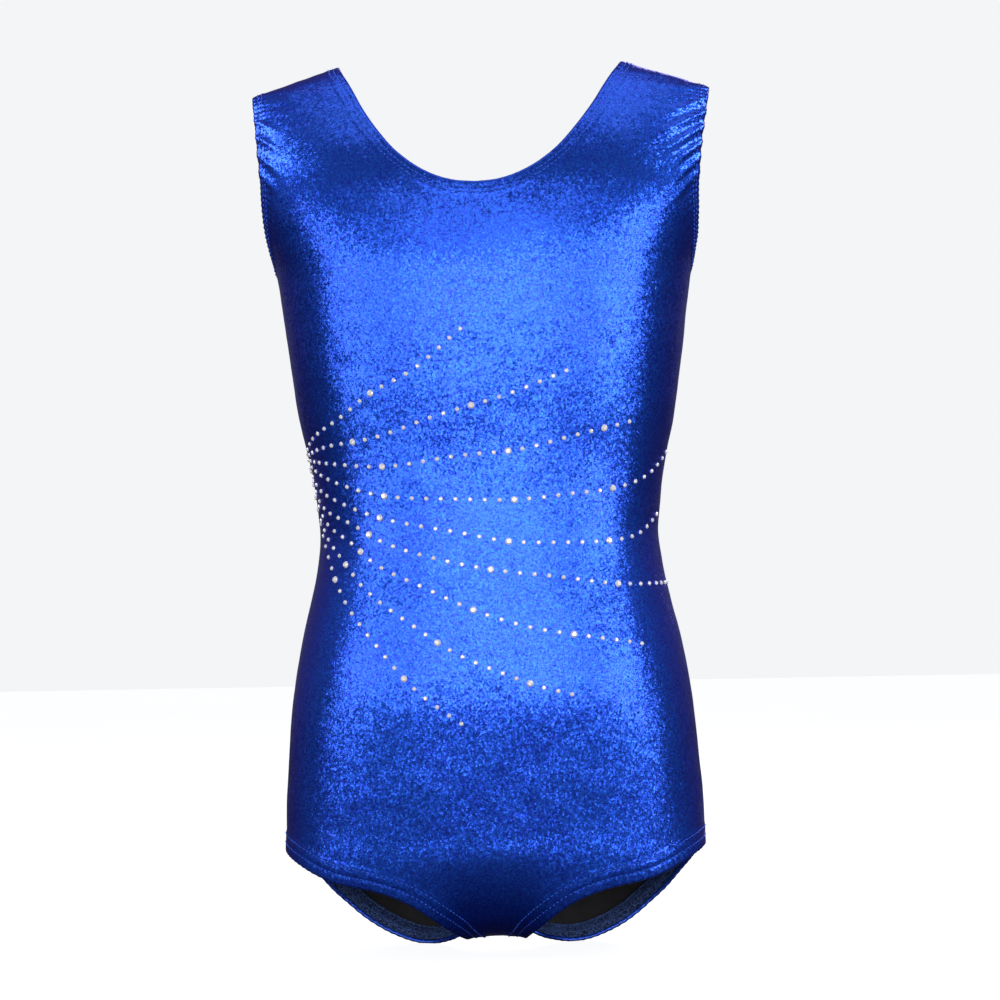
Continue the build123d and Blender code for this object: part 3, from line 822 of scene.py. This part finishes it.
def cover_threads(line, direction, rows):
    """Threads that cross between the rows on the inside of a hem."""
    parts = []
    near, far = rows
    even = len(line[::3]) // 2 * 2
    chosen = line[::3][:even]
    square = direction[::3][:even]
    for strand, (phase, step, extra) in enumerate([(0, 0, 0.0), (1, 0, 0.0), (0, 1, 0.35)]):
        flip = (np.arange(even) + phase) % 2
        reach = np.where(flip, far + 0.4, near - 0.4) + extra
        shifted = np.roll(chosen, step, axis=0) + np.roll(square, step, axis=0) * reach[:, None]
        path = layer(settle(shifted), 2.72 + 0.1 * strand)
        parts.append(tube(path, 0.2, 5, closed=True))
    for row in rows:
        base = settle(line + direction * row)
        parts.append(tube(layer(base, 2.66), 0.24, 5, closed=True))
    return parts


def add_stitching(name):
    kind = OPENINGS[name][0]
    line, step = EDGES[name]
    direction = inward(line, name)
    outside = []
    for distance in STITCH_ROWS[kind]:
        outside += stitch_row(line, step, direction, distance)
    threads = cover_threads(line, direction, STITCH_ROWS[kind])
    points, faces, counts = joined(outside + threads)
    covers = sum(counts[len(outside):])
    kinds = [0] * (len(faces) - covers) + [1] * covers
    make_piece(name + "_stitching", points, faces, [thread, cover_thread],
               [name + "_stitching"], kinds=kinds)


# ---- seams ---------------------------------------------------------------------------------
def add_seam(name, line):
    """Overlocked seam allowance inside the garment, bound with crossing threads."""
    line = resampled(line, 1.5)
    direction = unit(np.cross(normal(line), unit(np.gradient(line, axis=0))))
    profile = [(-2.4, 1.35), (-1.6, 1.1), (0, 1.0), (1.6, 1.1), (2.4, 1.35),
               (1.7, 1.7), (0.5, 1.85), (0, 1.7), (-0.5, 1.85), (-1.7, 1.7)]
    ribbon = swept(line, direction, profile, False)
    parts = [ribbon]
    for strand in range(2):
        flip = (np.arange(len(line)) + strand) % 2
        base = settle(line + direction * np.where(flip, 2.3, -2.3)[:, None])
        path = layer(base, 1.98 + 0.12 * strand)
        parts.append(tube(path, 0.17, 5))
    for distance in (-2.45, 2.45):
        base = settle(line + direction * distance)
        parts.append(tube(layer(base, 1.55), 0.24, 5))
    points, faces, counts = joined(parts)
    kinds = [0] * counts[0] + [1] * sum(counts[1:])
    make_piece(name, points, faces, [hem_foil, cover_thread], [name], kinds=kinds)


def add_seams():
    for name, hand in (("left", -1), ("right", 1)):
        low = LEG_FRONT[-1][1] + HEM_WIDTH["leg"] + 1
        high = ARM_LOW - HEM_WIDTH["arm"] - 1
        heights = np.linspace(low, high, 200)
        side = np.stack([hand * half_width(heights), np.zeros(200), heights], axis=-1)
        add_seam(name + "_side_seam", side)
        near = NECK_FRONT[-1][0] + HEM_WIDTH["neck"] + 1
        far = ARM_FRONT[-1][1] - HEM_WIDTH["arm"] - 1
        xs = np.linspace(near, far, 40)
        shoulder = np.stack([hand * xs, np.zeros(40), shoulder_line(xs)], axis=-1)
        add_seam(name + "_shoulder_seam", shoulder)
    reach = LEG_FRONT[0][0] - HEM_WIDTH["leg"] - 1
    xs = np.linspace(-reach, reach, 12)
    add_seam("crotch_seam", np.stack([xs, np.zeros(12), underside(np.abs(xs))], axis=-1))


# ---- crotch lining -------------------------------------------------------------------------
LINING_INSET = 9.0
LINING_REACH = {-1: 52.0, 1: 46.0}
LINING_TOP = 2.75
LINING_BOTTOM = 3.15


def add_lining():
    """Soft lining over the crotch seam, overlocked along its sides."""
    sides = []
    for name in ("left_leg", "right_leg"):
        ends = {}
        for side, reach in LINING_REACH.items():
            line = resampled(OPENINGS[name][1](side), 1.0)
            ends[side] = line[:int(reach)]
        whole = np.concatenate([ends[-1][::-1], ends[1][1:]])
        direction = inward_open(whole, name)
        sides.append(settle(whole + direction * LINING_INSET))
    left, right = sides
    shares = np.linspace(0, 1, 37)[None, :, None]
    grid = settle(left[:, None] * (1 - shares) + right[:, None] * shares)
    soft = 0.12 * lumps(grid.reshape(-1, 3), 6, 9).reshape(grid.shape[:2])
    rows, columns = grid.shape[:2]
    points = np.concatenate([layer(grid, LINING_TOP + soft).reshape(-1, 3),
                             layer(grid, LINING_BOTTOM + soft).reshape(-1, 3)])
    half = rows * columns
    faces = []
    for i in range(rows - 1):
        for j in range(columns - 1):
            a = i * columns + j
            quad = [a, a + 1, a + columns + 1, a + columns]
            faces.append(quad)
            faces.append([q + half for q in quad[::-1]])
    rim = [j for j in range(columns)]
    rim += [i * columns + columns - 1 for i in range(1, rows)]
    rim += [(rows - 1) * columns + j for j in range(columns - 2, -1, -1)]
    rim += [i * columns for i in range(rows - 2, 0, -1)]
    for a, b in zip(rim, rim[1:] + rim[:1]):
        faces.append([b, a, a + half, b + half])
    parts = [(points, faces)]
    for edge, hand in ((grid[:, 0], 1), (grid[:, -1], -1)):
        for strand in range(2):
            flip = (np.arange(rows) + strand) % 2
            base = settle(edge + np.where(flip, 2.6, 0.2)[:, None] * np.array([hand, 0, 0]))
            parts.append(tube(layer(base, LINING_BOTTOM + 0.2 + 0.1 * strand), 0.17, 5))
    points, faces, counts = joined(parts)
    kinds = [0] * counts[0] + [1] * sum(counts[1:])
    make_piece("crotch_lining", points, faces, [lining_cloth, cover_thread],
               ["crotch_lining"], kinds=kinds)


# ---- rhinestones ---------------------------------------------------------------------------
def islands(mesh):
    """Middle of each separate solid in a CAD mesh, in millimetres with the seam at height 0."""
    parent = list(range(len(mesh.vertices)))

    def root(i):
        while parent[i] != i:
            parent[i] = parent[parent[i]]
            i = parent[i]
        return i

    places = {}
    for vertex in mesh.vertices:
        key = tuple(round(c, 7) for c in vertex.co)
        first = places.setdefault(key, vertex.index)
        parent[root(vertex.index)] = root(first)
    for edge in mesh.edges:
        parent[root(edge.vertices[0])] = root(edge.vertices[1])
    groups = {}
    for vertex in mesh.vertices:
        groups.setdefault(root(vertex.index), []).append(vertex.co)
    middles = []
    for group in groups.values():
        corners = np.array(group)
        middles.append((corners.min(axis=0) + corners.max(axis=0)) / 2 / MM - (0, 0, LIFT))
    return np.array(middles)


# radius and height of each ring of a cut stone, as shares of its diameter, with its corners and turn
STONE_RINGS = [(0.47, 0.0, 16, 0.0), (0.5, 0.09, 16, 0.0), (0.41, 0.25, 8, 0.5), (0.27, 0.4, 8, 0.0)]


def cut_stone(place, up, diameter, turn):
    """Flat-backed stone with a girdle, sixteen lower facets, eight kites and a table."""
    across = unit(np.cross(up, (0.3, 0.1, 1.0)))
    other = np.cross(up, across)
    points = []
    starts = []
    for radius, height, corners, shift in STONE_RINGS:
        starts.append(len(points))
        for k in range(corners):
            angle = turn + 2 * math.pi * (k + shift) / corners
            offset = across * math.cos(angle) + other * math.sin(angle)
            points.append(place + (offset * radius + up * height) * diameter)
    base, girdle, crown, table = starts
    faces = [[base + k for k in range(16)][::-1]]
    for k in range(16):
        m = (k + 1) % 16
        faces.append([base + k, base + m, girdle + m, girdle + k])
    for k in range(8):
        m = (k + 1) % 8
        middle = girdle + 2 * k + 1
        faces.append([girdle + 2 * k, middle, crown + k])
        faces.append([middle, girdle + 2 * m, crown + k])
        faces.append([girdle + 2 * m, crown + m, table + m, crown + k])
        faces.append([crown + k, table + m, table + k])
    faces.append([table + k for k in range(8)])
    return points, faces


def add_stones(name, diameter, seed):
    """Cut stones, each a little turned and tilted, where the CAD has its solids."""
    dice = random.Random(seed)
    middles = settle(islands(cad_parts[name].data))
    ups = normal(middles)
    seats = layer(middles, -0.05)
    parts = []
    for seat, up in zip(seats, ups):
        tilt = np.array([dice.uniform(-0.06, 0.06) for _ in range(3)])
        parts.append(cut_stone(seat, unit(up + tilt), diameter, dice.uniform(0, 1)))
    points, faces, _ = joined(parts)
    make_piece(name, points, faces, [crystal], [name], smooth_faces=False)


# ---- care label ----------------------------------------------------------------------------
LABEL_WIDTH = 24.0
LABEL_DROP = 30.0
LABEL_TOP = 384.0
LABEL_DEPTH = 4.2
TACK_WIDTH = 18.0


def add_label():
    """Blank folded tape that hangs from the back of the neck and curls a little."""
    columns = 25
    rows = 31
    top = at(0, LABEL_TOP, 1)
    top = top - normal(top) * LABEL_DEPTH
    down = unit(at(0, LABEL_TOP - LABEL_DROP, 1) - at(0, LABEL_TOP, 1))
    across = np.array([1.0, 0.0, 0.0])
    out = np.cross(across, down)
    points = []
    for sheet in (-0.5, 0.5):
        for i in range(rows):
            for j in range(columns):
                u = (j / (columns - 1) - 0.5) * LABEL_WIDTH
                v = i / (rows - 1) * LABEL_DROP
                corner = max(0.0, abs(u) - LABEL_WIDTH / 2 + 2) * (v > LABEL_DROP - 2)
                v -= 0.3 * corner
                curl = 0.9 * (v / LABEL_DROP) ** 2 * math.sin(u / 7.0) + 0.25 * math.sin(v / 5.0)
                points.append(top + across * u + down * v + out * (curl + sheet * CLOTH))
    half = rows * columns
    faces = []
    for i in range(rows - 1):
        for j in range(columns - 1):
            a = i * columns + j
            quad = [a, a + 1, a + columns + 1, a + columns]
            faces.append(quad[::-1])
            faces.append([q + half for q in quad])
    rim = [j for j in range(columns)]
    rim += [i * columns + columns - 1 for i in range(1, rows)]
    rim += [(rows - 1) * columns + j for j in range(columns - 2, -1, -1)]
    rim += [i * columns for i in range(rows - 2, 0, -1)]
    for a, b in zip(rim, rim[1:] + rim[:1]):
        faces.append([a, b, b + half, a + half])
    make_piece("care_label", points, faces, [label_tape], ["care_label"])


def add_tack():
    """Close zigzag of thread over the label's top edge."""
    count = 46
    xs = TACK_WIDTH * (np.arange(count) / (count - 1) - 0.5)
    heights = LABEL_TOP + 3 + 1.5 * (np.arange(count) % 2)
    path = at(xs, heights, 1)
    zigzag = tube(path - normal(path) * 3.1, 0.28, 6)
    base = at(np.linspace(-TACK_WIDTH / 2, TACK_WIDTH / 2, 30), LABEL_TOP + 3.75, 1)
    core = tube(base - normal(base) * 3.1, 0.4, 6)
    points, faces, _ = joined([zigzag, core])
    make_piece("label_tack", points, faces, [cover_thread], ["label_tack"])


# ---- assembly ------------------------------------------------------------------------------
add_panel("front_panel", -1)
add_panel("back_panel", 1)
for opening_name in OPENINGS:
    add_hem(opening_name)
    add_elastic(opening_name)
    add_stitching(opening_name)
add_seams()
add_lining()
add_stones("small_rhinestones", 2.8, 5)
add_stones("large_rhinestones", 4.4, 6)
add_label()
add_tack()


# ---- stage, light and camera ---------------------------------------------------------------
def add_floor():
    """Pale floor that ends far behind the object; reflections in the foil see it darker."""
    mesh = bpy.data.meshes.new("floor")
    points = [(-6.0, -3.5, 0.0), (6.0, -3.5, 0.0), (6.0, 4.36, 0.0), (-6.0, 4.36, 0.0)]
    mesh.from_pydata(points, [], [(0, 1, 2, 3)])
    n = Nodes("pale_floor")
    tone = n.mix(n.noise(400, 2), (0.96, 0.97, 0.98), (0.99, 0.99, 1.0))
    seen = n.add("ShaderNodeLightPath").outputs["Is Camera Ray"]
    glow = n.math("MULTIPLY", seen, 0.96)
    values = {"Roughness": 0.6, "Base Color": (0.1, 0.1, 0.11, 1)}
    mesh.materials.append(n.surface(values, {"Emission Color": tone, "Emission Strength": glow}))
    floor = bpy.data.objects.new("floor", mesh)
    bpy.context.scene.collection.objects.link(floor)


def add_light(name, place, target, width, height, power):
    data = bpy.data.lights.new(name, "AREA")
    data.shape = "RECTANGLE"
    data.size = width
    data.size_y = height
    data.energy = power
    light = bpy.data.objects.new(name, data)
    light.location = place
    light.rotation_euler = (Vector(target) - Vector(place)).to_track_quat("-Z", "Y").to_euler()
    bpy.context.scene.collection.objects.link(light)


def add_world():
    """Pale world that the camera sees, dimmer to everything else."""
    world = bpy.data.worlds.new("studio")
    world.use_nodes = True
    tree = world.node_tree
    back = tree.nodes["Background"]
    path = tree.nodes.new("ShaderNodeLightPath")
    strength = tree.nodes.new("ShaderNodeMapRange")
    strength.inputs["To Min"].default_value = 0.2
    strength.inputs["To Max"].default_value = 0.93
    back.inputs["Color"].default_value = (0.97, 0.98, 1.0, 1)
    tree.links.new(path.outputs["Is Camera Ray"], strength.inputs["Value"])
    tree.links.new(strength.outputs["Result"], back.inputs["Strength"])
    bpy.context.scene.world = world


def add_camera():
    azimuth = math.radians(2.9)
    roll = math.radians(-1.15)
    distance = 3.0
    right = Vector((math.cos(azimuth), math.sin(azimuth), 0))
    forward = Vector((-math.sin(azimuth), math.cos(azimuth), 0))
    target = right * 0.0072 + Vector((0, 0, (276.9 + LIFT) * MM))
    data = bpy.data.cameras.new("camera")
    data.lens = 170.3
    data.sensor_width = 36
    camera = bpy.data.objects.new("camera", data)
    turn = forward.to_track_quat("-Z", "Y").to_matrix().to_4x4()
    upright = Matrix.Translation(target - forward * distance) @ turn
    camera.matrix_world = upright @ Matrix.Rotation(roll, 4, "Z")
    bpy.context.scene.collection.objects.link(camera)
    bpy.context.scene.camera = camera


middle = (0, 0, 0.3)
add_floor()
add_world()
chest = (0, 0, 0.33)
add_light("key", (0.05, -1.7, 0.3), chest, 1.6, 0.34, 9)
add_light("key_left", (-1.3, -1.15, 0.3), chest, 1.2, 0.34, 5)
add_light("key_right", (1.4, -1.05, 0.3), chest, 1.3, 0.34, 7.5)
add_light("front_fill", (0, -2.3, 1.3), chest, 1.6, 0.7, 6)
add_light("high_right", (1.5, 0.1, 1.6), (0.1, 0, 0.5), 0.8, 0.6, 13)
add_light("high_left", (-1.5, 0.1, 1.4), (-0.1, 0, 0.5), 0.8, 0.6, 8)
add_light("top", (0, 0.1, 2.4), middle, 1.8, 1.2, 6)
add_light("back", (0.6, 2.4, 1.2), middle, 1.6, 1.2, 20)
add_camera()
bpy.context.scene.view_settings.view_transform = "Standard"
